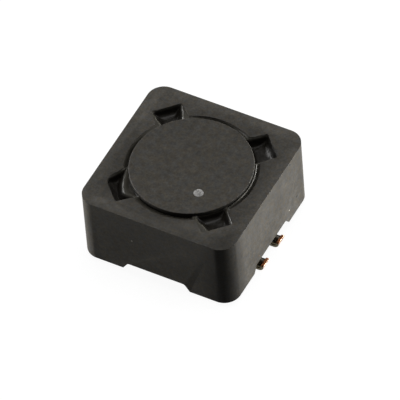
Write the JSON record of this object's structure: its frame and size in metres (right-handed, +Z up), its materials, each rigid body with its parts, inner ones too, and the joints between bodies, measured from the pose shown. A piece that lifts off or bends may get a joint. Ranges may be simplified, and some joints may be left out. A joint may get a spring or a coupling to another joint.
{
  "type": "shielded power inductor",
  "caption": "Square shielded surface-mount inductor: a ferrite drum with twin copper windings glued inside a ferrite shield, on curled terminals.",
  "frame": {"origin": "middle of the seating plane, on the undersides of the terminals", "axes": "+X from the middle to the row of terminals next to the marking dot, +Z up from the board to the top of the drum, +Y by the right-hand rule"},
  "size_m": [0.0136, 0.0126, 0.0065],
  "materials": {
    "ferrite": "matt",
    "base_moulding": "matt",
    "tinned_strip": "satin",
    "solder": "satin",
    "enamelled_copper": "gloss",
    "glue": "gloss",
    "marking_ink": "matt"
  },
  "bodies": {
    "root": {"shield_core": "ferrite", "drum_core": "ferrite", "base_plate": "base_moulding", "winding_a": "enamelled_copper", "winding_b": "enamelled_copper", "pin_dot": "marking_ink", "terminal_1": "tinned_strip", "terminal_2": "tinned_strip", "terminal_3": "tinned_strip", "terminal_4": "tinned_strip", "solder_1": "solder", "solder_2": "solder", "solder_3": "solder", "solder_4": "solder", "glue_1": "glue", "glue_2": "glue", "glue_3": "glue", "glue_4": "glue"}
  },
  "joints": []
}
